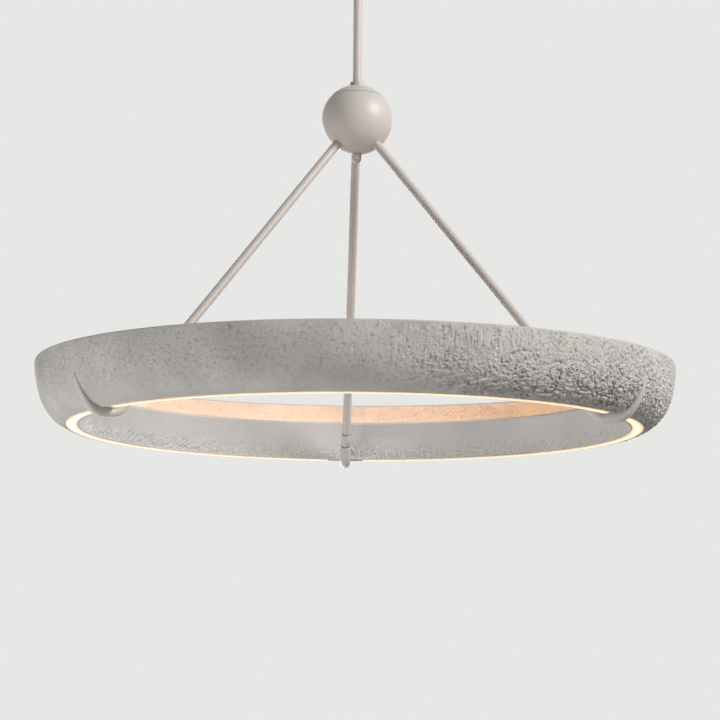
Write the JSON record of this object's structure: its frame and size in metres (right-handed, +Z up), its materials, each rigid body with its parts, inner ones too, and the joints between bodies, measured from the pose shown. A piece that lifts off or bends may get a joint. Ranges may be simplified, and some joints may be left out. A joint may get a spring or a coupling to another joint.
{
  "type": "led pendant light",
  "caption": "Round pendant light: a bowl-sided plaster ring with a lit slot below and an open lit top, held by hooked rods from a ball on a stem, with a swivel under a ceiling canopy.",
  "frame": {"origin": "middle of the ceiling face: the top of the mounting plate, on the stem's axis", "axes": "+Z up, towards the ceiling; the light hangs towards -Z; -Y faces the viewer of the picture and +X is to their right"},
  "size_m": [0.9144, 0.9144, 1.0293],
  "materials": {
    "plaster": "rough cast plaster with fine crinkled relief",
    "white_metal": "satin off-white powder coat",
    "steel": "zinc plated",
    "brass": "turned brass",
    "channel": "mill",
    "lower_diffuser": "opal, lit",
    "upper_diffuser": "opal, lit",
    "led_strip": "flexible circuit strip",
    "driver_case": "moulded",
    "terminal": "moulded",
    "cable": "sheathed cable",
    "ground_green": "green dyed steel"
  },
  "bodies": {
    "canopy": {"mounting_plate": "steel", "hanger_strap": "steel", "strap_screws": "steel", "threaded_nipple": "brass", "lock_nuts": "brass", "canopy_cover": "white_metal", "canopy_studs": "steel", "canopy_cap_nuts": "white_metal", "led_driver": "driver_case", "driver_screws": "steel", "terminal_block": "terminal", "ground_screw": "ground_green", "mains_lead": "cable", "output_lead": "cable", "swivel_housing": "white_metal", "swivel_retainer": "white_metal"},
    "yoke": {"swivel_yoke": "white_metal", "pivot_screws": "steel"},
    "pendant": {"swivel_knuckle": "white_metal", "upper_stem": "white_metal", "stem_coupler": "brass", "lower_stem": "white_metal", "stem_cable": "cable", "cable_splice": "terminal", "stem_collar": "white_metal", "ball_cap": "white_metal", "ball_shell": "white_metal", "arm_hub": "channel", "finial_spacer": "steel", "ball_finial": "white_metal", "arm_1": "white_metal", "arm_2": "white_metal", "arm_3": "white_metal", "arm_sleeve_1": "white_metal", "arm_sleeve_2": "white_metal", "arm_sleeve_3": "white_metal", "hook_1": "white_metal", "hook_2": "white_metal", "hook_3": "white_metal", "arm_cable_1": "cable", "arm_cable_2": "cable", "arm_cable_3": "cable", "ring_outer_wall": "plaster", "ring_inner_wall": "plaster", "ring_channel": "channel", "hook_bridge_1": "plaster", "hook_bridge_2": "plaster", "hook_bridge_3": "plaster", "lower_led_strips": "led_strip", "lower_diffuser_1": "lower_diffuser", "lower_diffuser_2": "lower_diffuser", "lower_diffuser_3": "lower_diffuser", "upper_led_strips": "led_strip", "upper_diffuser_1": "upper_diffuser", "upper_diffuser_2": "upper_diffuser", "upper_diffuser_3": "upper_diffuser"}
  },
  "joints": [
    {"name": "swivel_turn", "type": "hinge", "parent": "canopy", "child": "yoke", "pos_m": [0, 0, -0.0745], "axis": [0, 0, 1], "range_deg": [-155, 155]},
    {"name": "swivel_tilt", "type": "hinge", "parent": "yoke", "child": "pendant", "pos_m": [0, 0, -0.088], "axis": [0, 1, 0], "range_deg": [-45, 45]}
  ]
}
